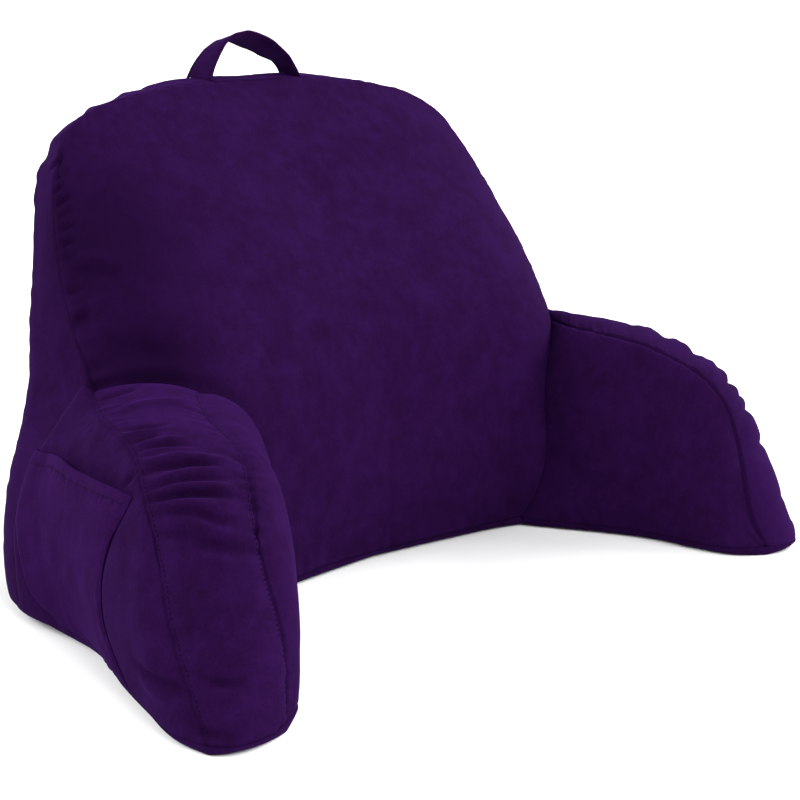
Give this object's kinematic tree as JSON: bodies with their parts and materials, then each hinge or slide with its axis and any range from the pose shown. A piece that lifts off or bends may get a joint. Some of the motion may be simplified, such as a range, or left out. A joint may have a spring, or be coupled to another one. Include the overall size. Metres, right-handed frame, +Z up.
{
  "type": "reading pillow with arms",
  "caption": "Wedge-shaped filled back rest with two curved padded arms, a slip pocket on the outside of one arm and a carry handle on top.",
  "frame": {"origin": "centre of the footprint's bounding box, on the floor", "axes": "+X to the right seen from the front, the arms point to -Y, +Z up"},
  "size_m": [0.7516, 0.4987, 0.5042],
  "materials": {
    "backrest": "soft brushed microsuede, slightly mottled nap",
    "arm_left": "soft brushed microsuede, slightly mottled nap",
    "arm_right": "soft brushed microsuede, slightly mottled nap",
    "pocket": "soft brushed microsuede, slightly mottled nap",
    "handle": "soft brushed microsuede, slightly mottled nap"
  },
  "bodies": {
    "root": {"backrest": "backrest", "arm_left": "arm_left", "arm_right": "arm_right", "pocket": "pocket", "handle": "handle"}
  },
  "joints": []
}
